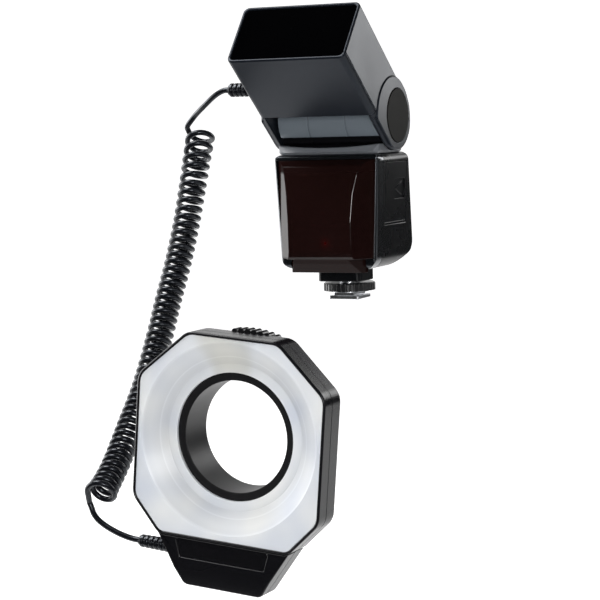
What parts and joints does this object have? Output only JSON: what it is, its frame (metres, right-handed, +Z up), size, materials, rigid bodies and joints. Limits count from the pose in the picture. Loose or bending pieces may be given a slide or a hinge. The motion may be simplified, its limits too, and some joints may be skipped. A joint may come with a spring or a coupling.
{
  "type": "macro ring flash",
  "caption": "Shoe-mounted macro flash: boxy body with a tilting head and a dark bulging window, joined by a curly cord to an octagonal ring light that screws on a lens.",
  "frame": {"origin": "middle of the underside of the shoe foot", "axes": "+Z up, -Y the way the flash and the ring light face, +X to the right as seen from the front"},
  "size_m": [0.1466, 0.1804, 0.3035],
  "materials": {
    "case_plastic": "satin black",
    "head_plastic": "satin blue-black",
    "window_plastic": "polished dark red, nearly opaque",
    "panel_plastic": "satin black",
    "grip_plastic": "black, ribbed",
    "ring_plastic": "satin black",
    "cap_plastic": "matt dark grey",
    "gloss_black": "polished black",
    "inner_plastic": "moulded",
    "white_plastic": "moulded",
    "button_plastic": "silver grey",
    "red_lens": "red, see-through",
    "diffuser_plastic": "milky, polished",
    "reflector_metal": "bright",
    "tube_glass": "clear",
    "board": "green laminate",
    "capacitor_sleeve": "shrunk sleeve",
    "coil_winding": "varnished wire",
    "contact_metal": "plated",
    "steel": "plain",
    "adapter_metal": "gloss black",
    "cord_rubber": "glossy black"
  },
  "bodies": {
    "flash_body": {"body_case": "case_plastic", "front_frame": "case_plastic", "front_window": "window_plastic", "battery_cradle": "inner_plastic", "battery_contacts": "contact_metal", "main_board": "board", "main_capacitor": "capacitor_sleeve", "assist_lamp": "red_lens", "rear_panel": "panel_plastic", "ready_lamp": "red_lens", "case_screws": "steel", "foot_block": "case_plastic", "shoe_foot": "steel", "door_pin": "steel", "neck_plinth": "head_plastic", "neck_barrel": "head_plastic", "tilt_shaft": "steel", "tilt_washers": "steel"},
    "shoe_contacts": {"shoe_contacts": "contact_metal"},
    "clamp_plate": {"clamp_plate": "steel"},
    "lock_wheel": {"lock_wheel": "grip_plastic"},
    "battery_door": {"battery_door": "case_plastic", "door_contact": "contact_metal"},
    "power_switch": {"power_switch": "grip_plastic"},
    "test_button": {"test_button": "button_plastic"},
    "head": {"head_upper_shell": "head_plastic", "head_lower_shell": "head_plastic", "head_front_panel": "gloss_black", "head_board": "board", "pivot_cap_left": "cap_plastic", "pivot_cap_right": "cap_plastic", "head_gland": "cord_rubber", "cord_upper_lead": "cord_rubber"},
    "ring_light": {"ring_front_shell": "ring_plastic", "ring_rear_shell": "ring_plastic", "ring_diffuser": "diffuser_plastic", "ring_reflector": "reflector_metal", "flash_tube_left": "tube_glass", "flash_tube_right": "tube_glass", "tube_holders": "white_plastic", "trigger_board": "board", "trigger_coil": "coil_winding", "ring_plate": "gloss_black", "ring_gland": "cord_rubber", "ring_screws": "steel", "retaining_ring": "adapter_metal", "cord_coil": "cord_rubber", "cord_lower_lead": "cord_rubber"},
    "lock_ring": {"lock_ring": "grip_plastic"},
    "adapter_ring": {"adapter_ring": "adapter_metal"}
  },
  "joints": [
    {"name": "head_tilt", "type": "hinge", "parent": "flash_body", "child": "head", "pos_m": [0, -0.0072, 0.1035], "axis": [-1, 0, 0], "range_deg": [-39, 50], "deforming": ["cord_upper_lead"]},
    {"name": "ring_off", "type": "slide", "parent": "flash_body", "child": "ring_light", "axis": [0, -1, 0], "range_m": [0, 0.06], "deforming": ["cord_coil"]},
    {"name": "lock_turn", "type": "hinge", "parent": "ring_light", "child": "lock_ring", "pos_m": [0, -0.135, -0.057], "axis": [0, 1, 0], "range_deg": [0, 25]},
    {"name": "adapter_turn", "type": "hinge", "parent": "ring_light", "child": "adapter_ring", "pos_m": [0, -0.135, -0.057], "axis": [0, 1, 0], "continuous": true},
    {"name": "door_hinge", "type": "hinge", "parent": "flash_body", "child": "battery_door", "pos_m": [0.02892, -0.0022, 0.0447], "axis": [0, 1, 0], "range_deg": [0, 90]},
    {"name": "switch_slide", "type": "slide", "parent": "flash_body", "child": "power_switch", "axis": [1, 0, 0], "range_m": [0, 0.004]},
    {"name": "test_push", "type": "slide", "parent": "flash_body", "child": "test_button", "axis": [0, -0.9856, -0.169], "range_m": [0, 0.001], "stiffness_N_per_m": 300},
    {"name": "contact_spring", "type": "slide", "parent": "flash_body", "child": "shoe_contacts", "axis": [0, 0, 1], "range_m": [0, 0.0004], "stiffness_N_per_m": 400, "springref_m": -0.0004},
    {"name": "clamp_lift", "type": "slide", "parent": "flash_body", "child": "clamp_plate", "axis": [0, 0, 1], "range_m": [0, 0.001]},
    {"name": "wheel_turn", "type": "hinge", "parent": "clamp_plate", "child": "lock_wheel", "pos_m": [0, 0, 0.007], "axis": [0, 0, 1], "range_deg": [0, 360]}
  ],
  "couplings": [
    {"joint": "clamp_lift", "follows": "wheel_turn", "m_per_rad": 0.000159}
  ]
}
